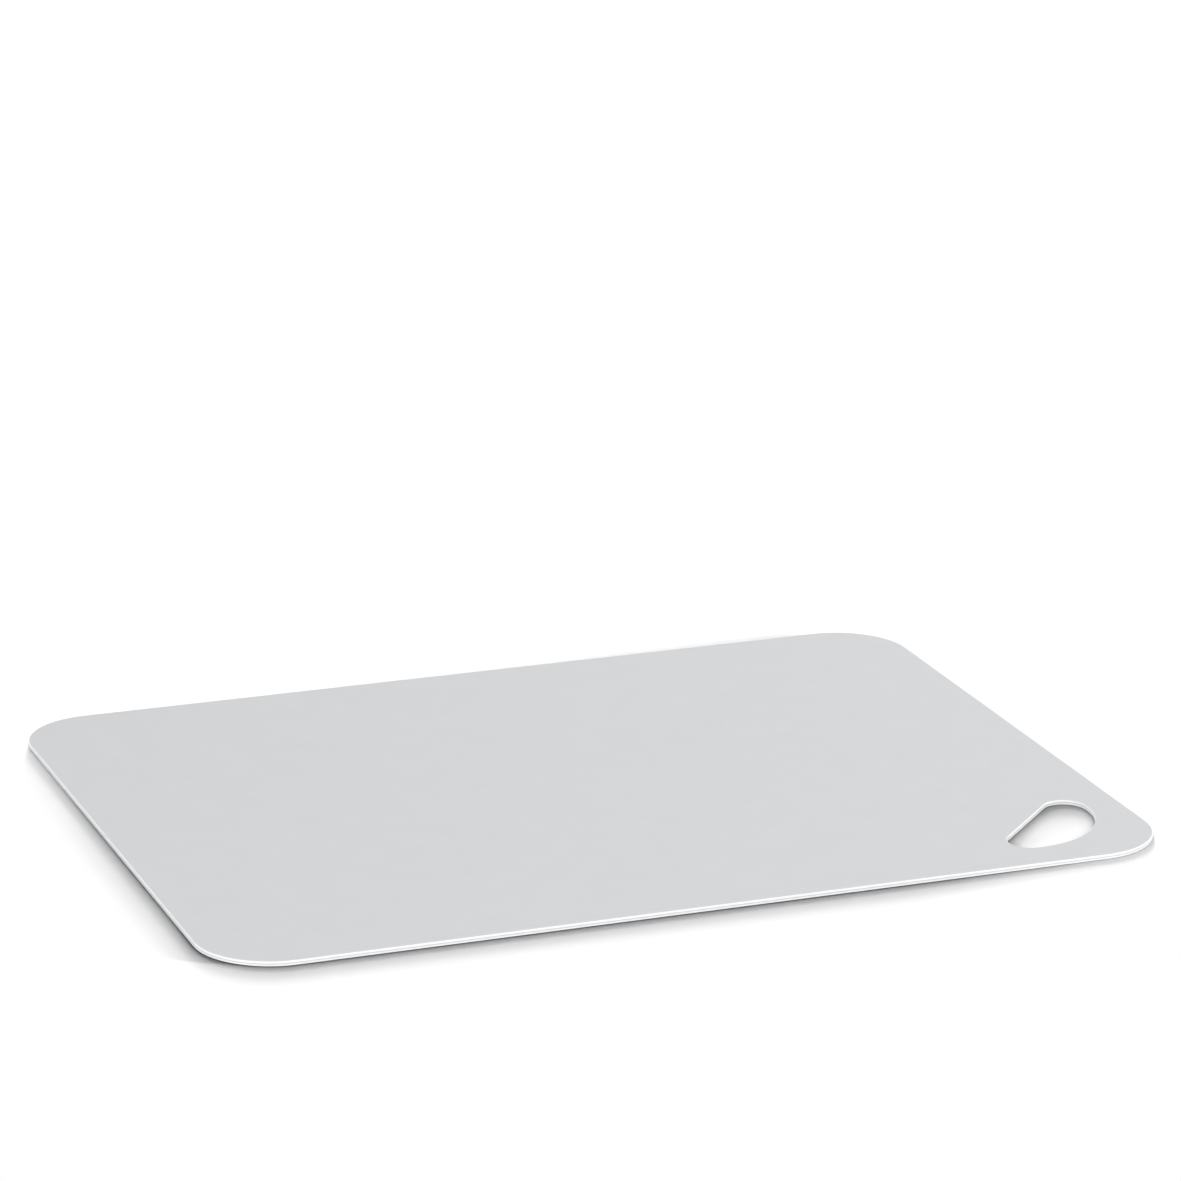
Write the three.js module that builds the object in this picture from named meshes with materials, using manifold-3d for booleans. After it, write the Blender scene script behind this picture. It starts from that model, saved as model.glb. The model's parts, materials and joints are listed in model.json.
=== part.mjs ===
// A flexible cutting mat: one thin sheet of soft plastic with round corners, rounded rims
// and a D-shaped hole in one corner, for a finger or a hook.
//
// Millimetres. X runs along the long side, Y from the front edge to the back edge and Z up.
// The origin is the middle of the underside, which lies on the table.
//
// The sheet bends about lines that run along X. It is divided there: a middle field of narrow
// strips does the bending, and a wide edge on either side stays flat in the hand. Each strip
// hangs on its inner neighbour at a bend line half way up the thickness, so turning the
// nested groups by equal angles curls the mat into a chute.

import * as THREE from "three";
import { mergeVertices } from "three/addons/utils/BufferGeometryUtils.js";
import Module from "manifold-3d";

// The sheet.
const matLength = 380;
const matWidth = 290;
const thickness = 1.8;
const cornerRadius = 30;
const rimRadius = 0.4;

// The hole. Its straight edge lies square to the corner's diagonal, on the side of the mat's
// middle, and its round side faces the corner.
const holeLength = 57;
const holeDepth = 25.7;
const holeEndRadius = 8.5;
const cornerToStraightEdge = 62.3;
const holeSideShift = 1.45;

// The division for bending.
const holeToFirstBend = 8.29;
const stripCount = 15;
const stripGap = 0.3;

// How finely round stretches are divided.
const arcSteps = 10;
const rimSteps = 3;

// What a cutting block stands proud of the sheet.
const overrun = 5;

const sheetColour = 0xd5d6d8;
const sheetRoughness = 0.6;

const halfLength = matLength / 2;
const halfWidth = matWidth / 2;

// The hole's arcs: two small ones at the ends, and a large one that touches both.
const endCentreOffset = holeLength / 2 - holeEndRadius;
const endCentreDepth = holeDepth - holeEndRadius;
const roundSideRadius =
  (endCentreOffset ** 2 + endCentreDepth ** 2 - holeEndRadius ** 2) / (2 * (endCentreDepth - holeEndRadius));

// The hole's highest point above the front edge, at the end that is nearer the middle of the mat's width.
const diagonalAngle = Math.PI / 4;
const holeReach =
  (cornerToStraightEdge - holeEndRadius + endCentreOffset + holeSideShift) * Math.sin(diagonalAngle) +
  holeEndRadius;

const edgeWidth = holeReach + holeToFirstBend;
const stripPitch = (matWidth - 2 * edgeWidth) / stripCount;
const stripWidth = stripPitch - stripGap;
const bendsPerSide = (stripCount + 1) / 2;

// The mat's outline, a rectangle with round corners.
function matOutline() {
  const shape = new THREE.Shape();
  const x = halfLength - cornerRadius;
  const y = halfWidth - cornerRadius;
  shape.moveTo(-x, -halfWidth);
  shape.lineTo(x, -halfWidth);
  shape.absarc(x, -y, cornerRadius, -Math.PI / 2, 0, false);
  shape.lineTo(halfLength, y);
  shape.absarc(x, y, cornerRadius, 0, Math.PI / 2, false);
  shape.lineTo(-x, halfWidth);
  shape.absarc(-x, y, cornerRadius, Math.PI / 2, Math.PI, false);
  shape.lineTo(-halfLength, -y);
  shape.absarc(-x, -y, cornerRadius, Math.PI, 1.5 * Math.PI, false);
  return shape;
}

// The hole's outline. It is drawn about the front right corner with its straight edge along +X
// and its round side towards -Y, and then turned onto the corner's diagonal.
function holeOutline() {
  const straightEdge = cornerToStraightEdge;
  const endCentre = straightEdge - holeEndRadius;
  const roundCentre = straightEdge - holeDepth + roundSideRadius;
  const touch = Math.atan2(endCentre - roundCentre, endCentreOffset);
  const right = holeSideShift + endCentreOffset;
  const left = holeSideShift - endCentreOffset;
  const drawn = new THREE.Path();
  drawn.moveTo(right, straightEdge);
  drawn.absarc(right, endCentre, holeEndRadius, Math.PI / 2, touch, true);
  drawn.absarc(holeSideShift, roundCentre, roundSideRadius, touch, -Math.PI - touch, true);
  drawn.absarc(left, endCentre, holeEndRadius, Math.PI - touch, Math.PI / 2, true);

  const corner = new THREE.Vector2(halfLength, -halfWidth);
  const origin = new THREE.Vector2();
  const points = drawn.getPoints(arcSteps).map((p) => p.rotateAround(origin, diagonalAngle).add(corner));
  return new THREE.Path(points);
}

const wasm = await Module();
wasm.setup();

// A closed three.js geometry as a solid that can be cut.
function solidOf(geometry) {
  const bare = geometry.clone();
  bare.deleteAttribute("normal");
  bare.deleteAttribute("uv");
  const merged = mergeVertices(bare);
  return new wasm.Manifold(
    new wasm.Mesh({
      numProp: 3,
      vertProperties: merged.attributes.position.array,
      triVerts: new Uint32Array(merged.index.array),
    }),
  );
}

// A cut solid as a three.js geometry.
function geometryOf(solid) {
  const mesh = solid.getMesh();
  const geometry = new THREE.BufferGeometry();
  geometry.setAttribute("position", new THREE.BufferAttribute(mesh.vertProperties, mesh.numProp));
  geometry.setIndex(new THREE.BufferAttribute(mesh.triVerts, 1));
  const faceted = geometry.toNonIndexed();
  faceted.computeVertexNormals();
  return faceted;
}

// The whole sheet, with its upper and lower rims rounded all the way round and in the hole.
function wholeSheet() {
  const outline = matOutline();
  outline.holes.push(holeOutline());
  const geometry = new THREE.ExtrudeGeometry(outline, {
    depth: thickness - 2 * rimRadius,
    curveSegments: arcSteps,
    bevelThickness: rimRadius,
    bevelSize: rimRadius,
    bevelOffset: -rimRadius,
    bevelSegments: rimSteps,
  });
  geometry.translate(0, 0, rimRadius);
  return solidOf(geometry);
}

// What a block from one Y to another holds of the sheet, moved so that its zeroY is at zero and
// the middle of its thickness is at zero.
function sectionOfSheet(sheet, fromY, toY, zeroY) {
  const block = new THREE.BoxGeometry(matLength + 2 * overrun, toY - fromY, thickness + 2 * overrun);
  block.translate(0, (fromY + toY) / 2, thickness / 2);
  const geometry = geometryOf(sheet.intersect(solidOf(block)));
  geometry.translate(0, -zeroY, -thickness / 2);
  return geometry;
}

function sheetMesh(name, geometry) {
  const material = new THREE.MeshStandardMaterial({
    color: sheetColour,
    roughness: sheetRoughness,
    metalness: 0,
  });
  const mesh = new THREE.Mesh(geometry, material);
  mesh.name = name;
  return mesh;
}

// One side of the mat, from the centre strip outwards. Side is -1 for the front and 1 for the
// back. Each bend is a group at its bend line, inside the group of the bend before it.
function addSide(centre, side, sideName, stripGeometry, edgeGeometry) {
  let inner = centre;
  let toBendLine = (side * stripPitch) / 2;
  for (let bend = 1; bend <= bendsPerSide; bend += 1) {
    const bendLine = new THREE.Group();
    bendLine.name = `${sideName}_bend_line_${bend}`;
    bendLine.position.y = toBendLine;
    inner.add(bendLine);
    if (bend < bendsPerSide) {
      const strip = sheetMesh(`${sideName}_flex_strip_${bend}`, stripGeometry);
      strip.position.y = (side * stripPitch) / 2;
      bendLine.add(strip);
    } else {
      bendLine.add(sheetMesh(`${sideName}_grip_edge`, edgeGeometry));
    }
    inner = bendLine;
    toBendLine = side * stripPitch;
  }
}

const sheet = wholeSheet();
const stripGeometry = sectionOfSheet(sheet, -stripWidth / 2, stripWidth / 2, 0);
const bendToEdge = halfWidth - edgeWidth;
const cutToEdge = bendToEdge + stripGap / 2;
const proudOfEdge = halfWidth + overrun;
const frontGeometry = sectionOfSheet(sheet, -proudOfEdge, -cutToEdge, -bendToEdge);
const backGeometry = sectionOfSheet(sheet, cutToEdge, proudOfEdge, bendToEdge);

const mat = new THREE.Group();
mat.name = "flexible_cutting_mat";
const centre = new THREE.Group();
centre.name = "centre";
centre.position.z = thickness / 2;
centre.add(sheetMesh("centre_strip", stripGeometry));
mat.add(centre);
addSide(centre, -1, "front", stripGeometry, frontGeometry);
addSide(centre, 1, "back", stripGeometry, backGeometry);

export default mat;
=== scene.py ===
# A flexible cutting mat: one thin sheet of soft plastic with round corners, rounded rims and a
# D-shaped hole in one corner, lying on a pale floor.
#
# Metres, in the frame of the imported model: X along the long side, Y from the front edge to the
# back edge, Z up, and the middle of the underside at the origin.

import json
import math

import bmesh
import bpy
from mathutils import Matrix, Quaternion, Vector

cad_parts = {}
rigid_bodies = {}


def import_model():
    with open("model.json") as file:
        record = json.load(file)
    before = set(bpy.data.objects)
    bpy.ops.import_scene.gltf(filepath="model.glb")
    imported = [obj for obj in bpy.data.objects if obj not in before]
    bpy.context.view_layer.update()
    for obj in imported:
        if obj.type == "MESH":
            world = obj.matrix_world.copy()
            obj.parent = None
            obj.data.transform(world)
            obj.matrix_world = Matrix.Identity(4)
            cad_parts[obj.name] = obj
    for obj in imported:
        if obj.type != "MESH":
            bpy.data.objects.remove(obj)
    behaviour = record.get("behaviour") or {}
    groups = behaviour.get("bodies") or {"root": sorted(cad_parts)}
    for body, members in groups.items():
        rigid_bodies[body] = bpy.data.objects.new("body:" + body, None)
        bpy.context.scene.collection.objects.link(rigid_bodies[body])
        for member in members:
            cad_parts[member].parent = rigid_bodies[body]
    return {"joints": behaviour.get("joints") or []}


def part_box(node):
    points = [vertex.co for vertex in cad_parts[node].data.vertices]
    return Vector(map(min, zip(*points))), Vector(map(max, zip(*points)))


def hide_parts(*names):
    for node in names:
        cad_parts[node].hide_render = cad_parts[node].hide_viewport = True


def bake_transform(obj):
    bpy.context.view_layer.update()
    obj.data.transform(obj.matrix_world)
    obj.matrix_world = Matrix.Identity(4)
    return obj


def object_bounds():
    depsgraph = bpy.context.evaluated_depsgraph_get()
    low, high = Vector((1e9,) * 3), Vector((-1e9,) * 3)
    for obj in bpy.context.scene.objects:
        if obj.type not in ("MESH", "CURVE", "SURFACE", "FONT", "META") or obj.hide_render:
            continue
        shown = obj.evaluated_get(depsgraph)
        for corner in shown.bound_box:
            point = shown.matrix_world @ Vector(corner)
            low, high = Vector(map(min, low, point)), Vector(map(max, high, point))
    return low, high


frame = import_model()
cad_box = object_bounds()

MM = 0.001

# The sheet. Its length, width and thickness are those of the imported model.
SIZE = cad_box[1] - cad_box[0]
CORNER_RADIUS = 30 * MM
UPPER_RIM_RADIUS = 0.4 * MM
LOWER_RIM_RADIUS = 0.2 * MM

# The hole. Its straight edge lies square to the diagonal of the front right corner, on the side
# of the mat's middle, and its round side faces the corner.
HOLE_LENGTH = 57 * MM
HOLE_DEPTH = 25.7 * MM
HOLE_END_RADIUS = 8.5 * MM
CORNER_TO_STRAIGHT_EDGE = 62.3 * MM
HOLE_SIDE_SHIFT = 1.45 * MM
DIAGONAL = math.radians(45)

# How finely the round stretches are divided.
CORNER_STEPS = 24
HOLE_END_STEPS = 20
HOLE_ROUND_STEPS = 28
RIM_STEPS = 4

# The profile with which a bevel follows a circle.
ROUND = 0.5

# A ring of quads inside every rim, which gives the rounding an even edge to follow.
RING = 1.5 * MM

# The angle up to which two edges or faces count as one straight or flat piece.
STRAIGHT = math.radians(0.1)

# The upward share of a normal past which a face counts as one of the two flat ones.
FLAT_SHARE = 0.999

# The name under which every corner of the mesh keeps its height in the flat sheet.
HEIGHT = "height_in_sheet"

# The photograph's camera, fitted to the mat's four edges. Azimuth is 0 in front of the mat and
# grows towards +X.
AIM = Vector((92.9, 235.0, 1.8)) * MM
CAMERA_AZIMUTH = math.radians(-20.46)
CAMERA_ELEVATION = math.radians(17.315)
CAMERA_DISTANCE = 2310.1 * MM
CAMERA_ROLL = math.radians(0.185)
CAMERA_LENS = 161.01

# How strongly polyethylene bends light.
POLYETHYLENE_IOR = 1.51

# The light. A level is what it gives a white surface that faces up, where 1 is white. Angles are
# in degrees. The shadows come from low suns behind the mat and to its right, which light the
# floor alone. The softboxes light the mat alone.
SKY_LEVEL = 0.22
FLOOR_SUNS = {
    "low_behind": {"level": 0.304, "azimuth": 160.5, "elevation": 5.1, "spread": 9},
    "high_behind": {"level": 0.373, "azimuth": 168.1, "elevation": 12.9, "spread": 25.2},
    "low_right": {"level": 0.22, "azimuth": 61, "elevation": 5, "spread": 2.4},
}
MAT_SOFTBOXES = {
    "overhead": {"level": 0.375, "azimuth": 150, "elevation": 55, "side": 1.4},
    "front_left": {"level": 0.215, "azimuth": -50, "elevation": 16, "side": 1.2},
    "front_right": {"level": 0.19, "azimuth": 60, "elevation": 16, "side": 1.2},
}
LAMP_DISTANCE = 2.4

# Two soft spots straight above the floor, which wash out the shadow at the front right and the
# back left corner.
FLOOR_SPOTS = {
    "over_front_right": {"level": 0.34, "x": 226 * MM, "y": -220 * MM, "radius": 169 * MM},
    "over_back_left": {"level": 0.2, "x": -165 * MM, "y": 315 * MM, "radius": 371 * MM},
}

# The floor. It lies just under the sheet, so that the two faces don't share a plane.
FLOOR_SIDE = 16
FLOOR_DROP = 0.05 * MM


def linear(hex_colour):
    """An sRGB colour such as D5D6D8, as the linear values that a shader takes."""
    shares = [int(hex_colour[i : i + 2], 16) / 255 for i in (0, 2, 4)]
    turned = [s / 12.92 if s <= 0.04045 else ((s + 0.055) / 1.055) ** 2.4 for s in shares]
    return (*turned, 1)


def direction(azimuth, elevation):
    """The way from the mat to what stands at that azimuth and elevation."""
    level = math.cos(elevation)
    return Vector((math.sin(azimuth) * level, -math.cos(azimuth) * level, math.sin(elevation)))


def put_in_scene(name, data):
    made = bpy.data.objects.new(name, data)
    bpy.context.scene.collection.objects.link(made)
    return made


def make_camera():
    data = bpy.data.cameras.new("camera")
    data.lens = CAMERA_LENS
    camera = put_in_scene("camera", data)
    back = direction(CAMERA_AZIMUTH, CAMERA_ELEVATION)
    camera.location = AIM + back * CAMERA_DISTANCE
    camera.rotation_mode = "QUATERNION"
    upright = (-back).to_track_quat("-Z", "Y")
    camera.rotation_quaternion = upright @ Quaternion((0, 0, 1), CAMERA_ROLL)
    bpy.context.scene.camera = camera


# Materials.


def node(tree, kind, inputs=None, **settings):
    """Adds a node with its settings. An input is a constant, or an output that is linked to it."""
    made = tree.nodes.new(kind)
    for name, value in settings.items():
        setattr(made, name, value)
    for socket, value in (inputs or {}).items():
        if isinstance(value, bpy.types.NodeSocket):
            tree.links.new(value, made.inputs[socket])
        else:
            made.inputs[socket].default_value = value
    return made


def empty_material(name):
    material = bpy.data.materials.new(name)
    material.use_nodes = True
    material.node_tree.nodes.clear()
    return material, material.node_tree


def own_place(tree):
    """A point's place in its own object, which it keeps when the object moves."""
    return node(tree, "ShaderNodeTexCoord").outputs["Object"]


def noise(tree, feature, detail):
    """Even noise, whose blots are about as wide as the feature."""
    made = node(
        tree,
        "ShaderNodeTexNoise",
        {
            "Vector": own_place(tree),
            "Scale": 1 / (2 * feature),
            "Detail": detail,
            "Roughness": 0.5,
        },
    )
    return made.outputs["Fac"]


def maths(tree, operation, *values):
    return node(tree, "ShaderNodeMath", dict(enumerate(values)), operation=operation).outputs[0]


def ramp(tree, value, start=0, end=1, low=0, high=1, interpolation="LINEAR"):
    """Goes from low to high while the value goes from start to end, and stays there outside."""
    made = node(
        tree,
        "ShaderNodeMapRange",
        {"Value": value, "From Min": start, "From Max": end, "To Min": low, "To Max": high},
        interpolation_type=interpolation,
    )
    return made.outputs["Result"]


def mixed_colour(tree, share, first, second):
    """The first colour where the share is 0, and the second where it is 1."""
    made = node(
        tree,
        "ShaderNodeMix",
        {"Factor": share, "A": first, "B": second},
        data_type="RGBA",
    )
    return made.outputs["Result"]


def rolled_polyethylene():
    """Soft polyethylene sheet, cooled on a matte roller: dull, with a fine even grain and a hint
    of cloud where the melt cooled unevenly. The real grain is under a pixel here. It is taken as
    near 0.2 mm, and is drawn three times as coarse."""
    cloud = 7 * MM
    grain = 0.6 * MM
    grain_height = 0.006 * MM

    material, tree = empty_material("rolled_polyethylene")
    clouds = noise(tree, cloud, detail=2)
    grains = noise(tree, grain, detail=1)
    bump = node(
        tree,
        "ShaderNodeBump",
        {"Height": grains, "Distance": grain_height, "Strength": 1.0},
    )
    skin = node(
        tree,
        "ShaderNodeBsdfPrincipled",
        {
            "Base Color": mixed_colour(tree, clouds, linear("D1D2D4"), linear("D5D6D8")),
            "Roughness": ramp(tree, grains, low=0.58, high=0.66),
            "Normal": bump.outputs["Normal"],
            "IOR": POLYETHYLENE_IOR,
            "Specular IOR Level": 0.35,
        },
    )
    node(tree, "ShaderNodeOutputMaterial", {"Surface": skin.outputs["BSDF"]})
    return material


def trimmed_polyethylene():
    """The same plastic where the die cut it: without the roller's grain, so smoother than the
    faces.
    It is also paler than them, partly as its own colour and partly as painted light that brightens
    the lit edges and the highlight on their rims. A greyer line runs along it near half its height."""
    drag = 0.8 * MM
    line_height = 0.93 * MM
    line_reach = 0.35 * MM

    material, tree = empty_material("trimmed_polyethylene")
    height = node(tree, "ShaderNodeAttribute", attribute_name=HEIGHT).outputs["Fac"]
    from_line = maths(tree, "ABSOLUTE", maths(tree, "SUBTRACT", height, line_height))
    paleness = ramp(tree, from_line, end=line_reach, interpolation="SMOOTHSTEP")
    marks = noise(tree, drag, detail=1)
    skin = node(
        tree,
        "ShaderNodeBsdfPrincipled",
        {
            # EFF0F2 is partly painted light: paler, to brighten the lit edges and their rim
            # highlights. C9CACC is the greyer line at half height.
            "Base Color": mixed_colour(tree, paleness, linear("C9CACC"), linear("EFF0F2")),
            "Roughness": ramp(tree, marks, low=0.26, high=0.32),
            "IOR": POLYETHYLENE_IOR,
        },
    )
    node(tree, "ShaderNodeOutputMaterial", {"Surface": skin.outputs["BSDF"]})
    return material


def seen_directly(tree):
    """1 for a ray from the camera or off something glossy or clear, and 0 for diffuse light."""
    path = node(tree, "ShaderNodeLightPath").outputs
    camera_or_gloss = maths(tree, "MAXIMUM", path["Is Camera Ray"], path["Is Glossy Ray"])
    return maths(tree, "MAXIMUM", camera_or_gloss, path["Is Transmission Ray"])


def outside_pool(tree, x, y, radius):
    """0 in the middle of a spot's pool of light, and 1 from its radius on."""
    from_middle = node(
        tree,
        "ShaderNodeMapping",
        {
            "Vector": own_place(tree),
            "Location": (-x / radius, -y / radius, 0),
            "Scale": [1 / radius] * 3,
        },
    ).outputs["Vector"]
    squared = node(
        tree, "ShaderNodeVectorMath", {0: from_middle, 1: from_middle}, operation="DOT_PRODUCT"
    )
    return ramp(tree, squared.outputs["Value"], interpolation="SMOOTHSTEP")


def far_from_mat(tree, side_reach, front_reach):
    """0 under the flat mat and near it, and 1 far from it. Each reach gives where the rise from
    0 to 1 starts and ends: beside the mat, and in front of it or behind it."""
    folded = node(tree, "ShaderNodeVectorMath", {0: own_place(tree)}, operation="ABSOLUTE")
    from_middle = node(tree, "ShaderNodeSeparateXYZ", {0: folded.outputs[0]}).outputs
    rises = [
        ramp(tree, from_middle[axis], half + start, half + end, interpolation="SMOOTHSTEP")
        for axis, half, (start, end) in (
            ("X", SIZE.x / 2, side_reach),
            ("Y", SIZE.y / 2, front_reach),
        )
    ]
    return maths(tree, "MAXIMUM", *rises)


def painted_floor():
    """Matte white paint on a board. It is pure white to the eye of the camera, and pale grey to
    the light that it throws back on the mat. Where the mat touches it, a painted shade darkens it
    to the eye beyond its real shadow, because the lit edge of the mat would brighten the shadow
    there more than is seen: most of all in front, where the edge is lit best. The two spots take
    that painted shade away too. Further off it is painted white to the eye even in the shadow: soon
    beside the mat, where the shadow is seen to end, and later in front and behind, where the long
    shadow of the bent mat fades out."""
    reach = 6 * MM
    front_depth = 4.3
    other_depth = 1.8
    front = -SIZE.y / 2
    side_reach = (7 * MM, 16 * MM)
    front_reach = (20 * MM, 100 * MM)

    material, tree = empty_material("painted_floor")
    seen = seen_directly(tree)
    open_share = node(tree, "ShaderNodeAmbientOcclusion", {"Distance": reach}, samples=4)
    across = node(tree, "ShaderNodeSeparateXYZ", {0: own_place(tree)}).outputs["Y"]
    depth = ramp(tree, across, front, front + 2 * CORNER_RADIUS, front_depth, other_depth)
    for spot in FLOOR_SPOTS.values():
        outside = outside_pool(tree, spot["x"], spot["y"], spot["radius"])
        depth = maths(tree, "MULTIPLY", depth, outside)
    # Painted shade: near the mat, the camera sees the floor darkened by how little open sky each
    # point has, most deeply in front.
    shade = maths(tree, "POWER", open_share.outputs["AO"], depth)
    colour = mixed_colour(tree, seen, linear("E8E8E8"), shade)
    paint = node(tree, "ShaderNodeBsdfDiffuse", {"Color": colour})
    white = node(tree, "ShaderNodeEmission", {"Color": linear("FFFFFF"), "Strength": 1.0})
    # Painted white: far from the mat, the camera sees plain white, which covers the floor's real
    # shadow.
    painted_white_share = maths(tree, "MULTIPLY", far_from_mat(tree, side_reach, front_reach), seen)
    surface = node(
        tree,
        "ShaderNodeMixShader",
        {0: painted_white_share, 1: paint.outputs["BSDF"], 2: white.outputs["Emission"]},
    )
    node(tree, "ShaderNodeOutputMaterial", {"Surface": surface.outputs[0]})
    return material


# The sheet.


def rounded_rectangle(bm):
    """The mat's outline as one flat face."""
    corners = bmesh.ops.create_grid(bm, x_segments=1, y_segments=1, size=0.5)["verts"]
    bmesh.ops.scale(bm, vec=(SIZE.x, SIZE.y, 1), verts=corners)
    bmesh.ops.bevel(
        bm,
        geom=corners,
        offset=CORNER_RADIUS,
        offset_type="OFFSET",
        affect="VERTICES",
        segments=CORNER_STEPS,
        profile=ROUND,
        material=-1,
    )
    (face,) = bm.faces[:]
    return face


def grown_hole(bm, by):
    """The hole's outline, wider by that much all round, as one flat face. It is drawn about the
    front right corner with its straight edge along +X, and then turned onto the diagonal."""
    end_offset = HOLE_LENGTH / 2 - HOLE_END_RADIUS
    end_depth = HOLE_DEPTH - HOLE_END_RADIUS
    round_radius = (end_offset**2 + end_depth**2 - HOLE_END_RADIUS**2) / (
        2 * (end_depth - HOLE_END_RADIUS)
    )
    end_level = CORNER_TO_STRAIGHT_EDGE - HOLE_END_RADIUS
    round_level = CORNER_TO_STRAIGHT_EDGE - HOLE_DEPTH + round_radius
    touch = math.atan2(end_level - round_level, end_offset)

    right_end = Vector((HOLE_SIDE_SHIFT + end_offset, end_level, 0))
    left_end = Vector((HOLE_SIDE_SHIFT - end_offset, end_level, 0))
    round_centre = Vector((HOLE_SIDE_SHIFT, round_level, 0))
    end_turn = touch - math.pi / 2
    round_turn = -math.pi - 2 * touch

    first = bm.verts.new(right_end + Vector((0, HOLE_END_RADIUS + by, 0)))
    outline = [first]
    last = first
    for centre, turn, steps in (
        (right_end, end_turn, HOLE_END_STEPS),
        (round_centre, round_turn, HOLE_ROUND_STEPS),
        (left_end, end_turn, HOLE_END_STEPS),
    ):
        before = len(bm.verts)
        bmesh.ops.spin(bm, geom=[last], cent=centre, axis=(0, 0, 1), angle=turn, steps=steps)
        bm.verts.ensure_lookup_table()
        outline += bm.verts[before:]
        last = outline[-1]
    bm.edges.new((last, first))

    turned = Matrix.Rotation(DIAGONAL, 4, "Z")
    to_corner = Matrix.Translation((SIZE.x / 2, -SIZE.y / 2, 0))
    bmesh.ops.transform(bm, matrix=to_corner @ turned, verts=outline)
    return bmesh.ops.contextual_create(bm, geom=outline)["faces"][0]


def is_flat(face):
    return abs(face.normal.z) > FLAT_SHARE


def round_rims(bm, height, radius):
    """Rounds the rims at that height, round the mat and round the hole."""
    rims = [
        edge
        for edge in bm.edges
        if sum(is_flat(face) for face in edge.link_faces) == 1
        and all(abs(vert.co.z - height) < radius for vert in edge.verts)
    ]
    bmesh.ops.bevel(
        bm,
        geom=rims,
        offset=radius,
        offset_type="OFFSET",
        affect="EDGES",
        segments=RIM_STEPS,
        profile=ROUND,
        material=-1,
    )


def whole_sheet():
    """The undivided sheet, closed, with its hole and its rounded rims."""
    bm = bmesh.new()

    inside = rounded_rectangle(bm)
    bmesh.ops.inset_region(
        bm, faces=[inside], thickness=RING, use_boundary=True, use_even_offset=True
    )
    hole = grown_hole(bm, RING)
    border = inside.edges[:] + hole.edges[:]
    bmesh.ops.delete(bm, geom=[inside], context="FACES_ONLY")
    filled = bmesh.ops.triangle_fill(bm, edges=border, use_beauty=True)["geom"]
    between = [e for e in filled if isinstance(e, bmesh.types.BMEdge)]
    bmesh.ops.dissolve_limit(bm, angle_limit=STRAIGHT, edges=between)
    bmesh.ops.inset_region(bm, faces=[hole], thickness=RING, use_even_offset=True)
    bmesh.ops.delete(bm, geom=[hole], context="FACES")

    upper = bmesh.ops.extrude_face_region(bm, geom=bm.faces[:], use_keep_orig=True)["geom"]
    lifted = [v for v in upper if isinstance(v, bmesh.types.BMVert)]
    bmesh.ops.translate(bm, vec=(0, 0, SIZE.z), verts=lifted)
    bmesh.ops.recalc_face_normals(bm, faces=bm.faces[:])

    round_rims(bm, SIZE.z, UPPER_RIM_RADIUS)
    round_rims(bm, 0, LOWER_RIM_RADIUS)
    return bm


def cut_off(bm, y, side):
    """Takes away what lies beyond the plane at y, towards side, and closes the cut with a face
    that keeps its own shading."""
    geom = bm.verts[:] + bm.edges[:] + bm.faces[:]
    cut = bmesh.ops.bisect_plane(
        bm, geom=geom, plane_co=(0, y, 0), plane_no=(0, side, 0), clear_outer=True
    )
    edges = [e for e in cut["geom_cut"] if isinstance(e, bmesh.types.BMEdge)]
    bmesh.ops.edgeloop_fill(bm, edges=edges)
    for edge in edges:
        edge.smooth = False


def middle(node_name):
    low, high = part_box(node_name)
    return (low.y + high.y) / 2


def make_piece(name, sheet, joint, side, inner, outer, materials):
    """The stretch of sheet from the middle of one strip to the middle of the next, with a line
    across it where it bends. The last one runs on to the mat's edge."""
    bend = Vector(joint["pos_m"])
    bm = sheet.copy()
    cut_off(bm, inner, -side)
    if outer is not None:
        cut_off(bm, outer, side)
    geom = bm.verts[:] + bm.edges[:] + bm.faces[:]
    bmesh.ops.bisect_plane(bm, geom=geom, plane_co=bend, plane_no=(0, 1, 0))

    for face in bm.faces:
        face.smooth = True
        face.material_index = 0 if is_flat(face) else 1
    for edge in bm.edges:
        if len({is_flat(face) for face in edge.link_faces}) == 2:
            edge.smooth = False
    height = bm.verts.layers.float.new(HEIGHT)
    for vert in bm.verts:
        vert[height] = vert.co.z

    mesh = bpy.data.meshes.new(name)
    bm.to_mesh(mesh)
    bm.free()
    for material in materials:
        mesh.materials.append(material)
    piece = put_in_scene(name, mesh)

    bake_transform(piece)
    return piece


def make_side(sheet, side, side_name, materials):
    """One half of the mat, from the middle outwards: a piece for each line where it bends."""
    joints = {j["name"]: j for j in frame["joints"] if j["name"].startswith(side_name)}
    pieces = []
    for number in range(1, len(joints) + 1):
        joint = joints[f"{side_name}_bend_{number}"]
        last = number == len(joints)
        inner = middle(joint["parent"])
        outer = None if last else middle(joint["child"])
        name = f"{side_name}_sheet_{number}"
        piece = make_piece(name, sheet, joint, side, inner, outer, materials)
        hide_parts(joint["child"], *(["centre_strip"] if number == 1 else []))
        pieces.append(piece)
    return pieces


# The floor, the lamps and the sky.


def make_floor():
    bm = bmesh.new()
    bmesh.ops.create_grid(bm, x_segments=1, y_segments=1, size=FLOOR_SIDE / 2)
    bmesh.ops.translate(bm, vec=(0, 0, -FLOOR_DROP), verts=bm.verts[:])
    mesh = bpy.data.meshes.new("floor")
    bm.to_mesh(mesh)
    bm.free()
    mesh.materials.append(painted_floor())
    floor = put_in_scene("floor", mesh)
    return floor


def light_only(lamp, receivers):
    """The lamp lights those objects alone, while all objects still throw shadows in its light."""
    group = bpy.data.collections.new(f"lit_by_{lamp.name}")
    for receiver in receivers:
        group.objects.link(receiver)
    lamp.light_linking.receiver_collection = group


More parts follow.
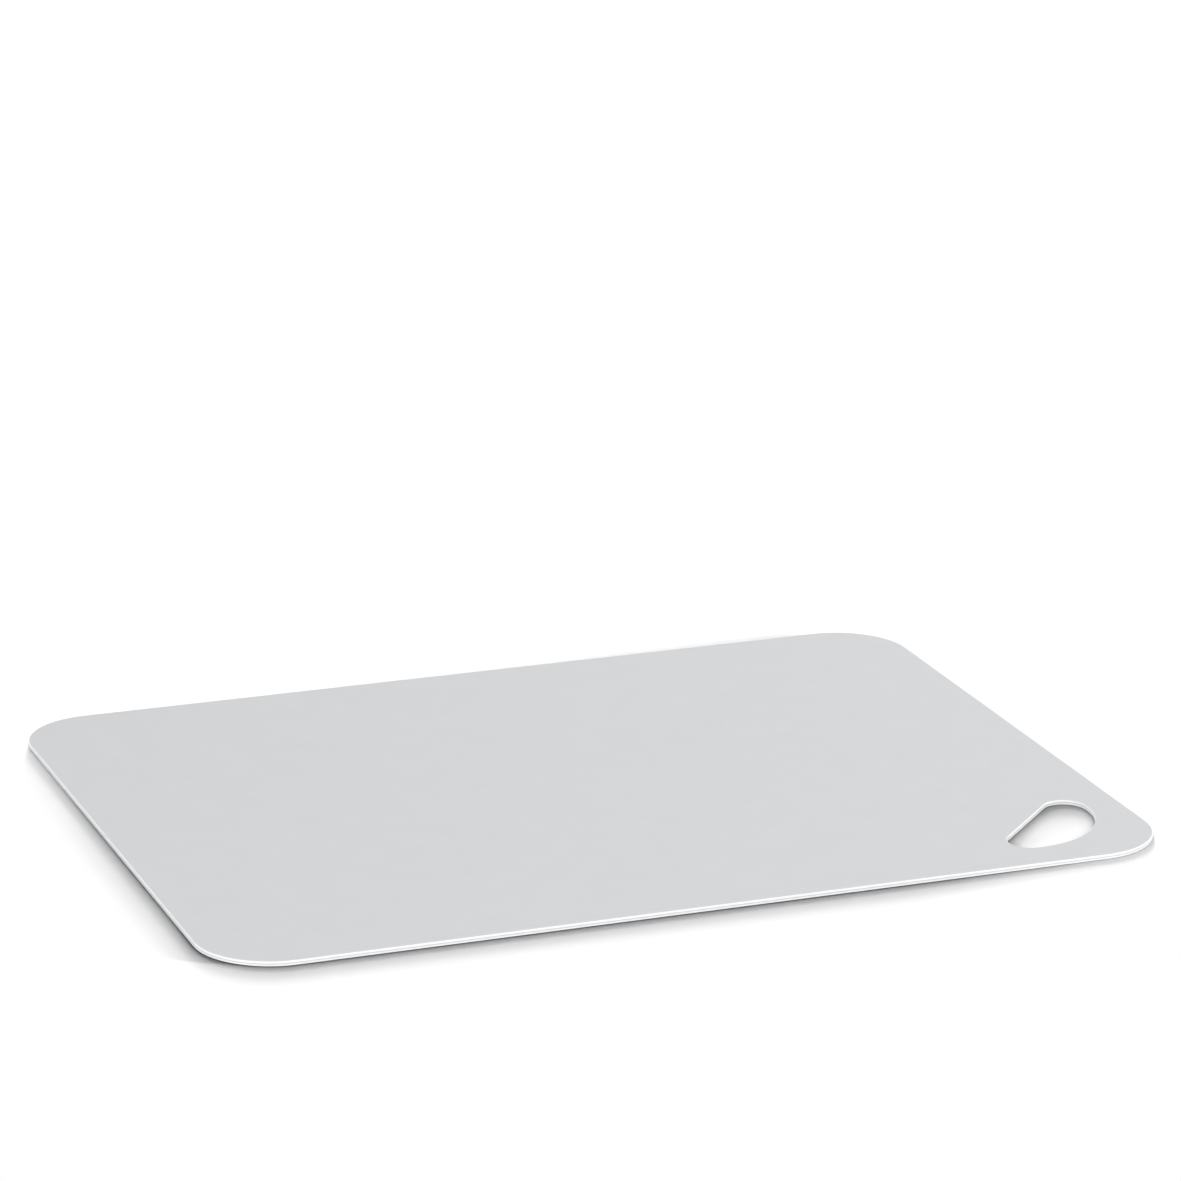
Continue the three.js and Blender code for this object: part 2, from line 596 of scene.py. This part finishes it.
def make_lamp(name, data, towards, receivers, target=Vector()):
    """A lamp that stands that way from its target, the mat's middle or another, and looks at it."""
    lamp = put_in_scene(name, data)
    lamp.location = target + towards * LAMP_DISTANCE
    lamp.rotation_mode = "QUATERNION"
    lamp.rotation_quaternion = towards.to_track_quat("Z", "Y")
    light_only(lamp, receivers)


def make_sun(name, level, azimuth, elevation, spread, receivers):
    """A far lamp, whose disc is as wide as the spread and blurs its shadows by as much."""
    towards = direction(math.radians(azimuth), math.radians(elevation))
    data = bpy.data.lights.new(name, "SUN")
    data.energy = math.pi * level / towards.z
    data.angle = math.radians(spread)
    make_lamp(name, data, towards, receivers)


def make_softbox(name, level, azimuth, elevation, side, receivers):
    """A square lamp of that side length, which faces the mat's middle."""
    towards = direction(math.radians(azimuth), math.radians(elevation))
    data = bpy.data.lights.new(name, "AREA")
    data.shape = "SQUARE"
    data.size = side
    data.energy = (math.pi * LAMP_DISTANCE) ** 2 * level / towards.z
    make_lamp(name, data, towards, receivers)


def make_spot(name, level, x, y, radius, receivers):
    """A lamp straight above, whose pool of light fades evenly from its middle to its radius."""
    data = bpy.data.lights.new(name, "SPOT")
    data.spot_size = 2 * math.atan2(radius, LAMP_DISTANCE)
    data.spot_blend = 1
    data.shadow_soft_size = 0
    data.energy = (2 * math.pi * LAMP_DISTANCE) ** 2 * level
    make_lamp(name, data, Vector((0, 0, 1)), receivers, Vector((x, y, 0)))


def make_sky():
    """An even white sky: full white where it is seen, and dimmer in the light that it gives."""
    world = bpy.data.worlds.new("sky")
    bpy.context.scene.world = world
    world.use_nodes = True
    tree = world.node_tree
    tree.nodes.clear()
    given = node(tree, "ShaderNodeBackground", {"Color": linear("FFFFFF"), "Strength": SKY_LEVEL})
    shown = node(tree, "ShaderNodeBackground", {"Color": linear("FFFFFF"), "Strength": 1.0})
    both = node(
        tree,
        "ShaderNodeMixShader",
        {0: seen_directly(tree), 1: given.outputs[0], 2: shown.outputs[0]},
    )
    node(tree, "ShaderNodeOutputWorld", {"Surface": both.outputs[0]})


bpy.context.scene.view_settings.view_transform = "Standard"
make_camera()

finishes = [rolled_polyethylene(), trimmed_polyethylene()]
sheet = whole_sheet()
mat = make_side(sheet, -1, "front", finishes) + make_side(sheet, 1, "back", finishes)
sheet.free()

floor = make_floor()
make_sky()
for name, settings in FLOOR_SUNS.items():
    make_sun(name, receivers=[floor], **settings)
for name, settings in FLOOR_SPOTS.items():
    make_spot(name, receivers=[floor], **settings)
for name, settings in MAT_SOFTBOXES.items():
    make_softbox(name, receivers=mat, **settings)
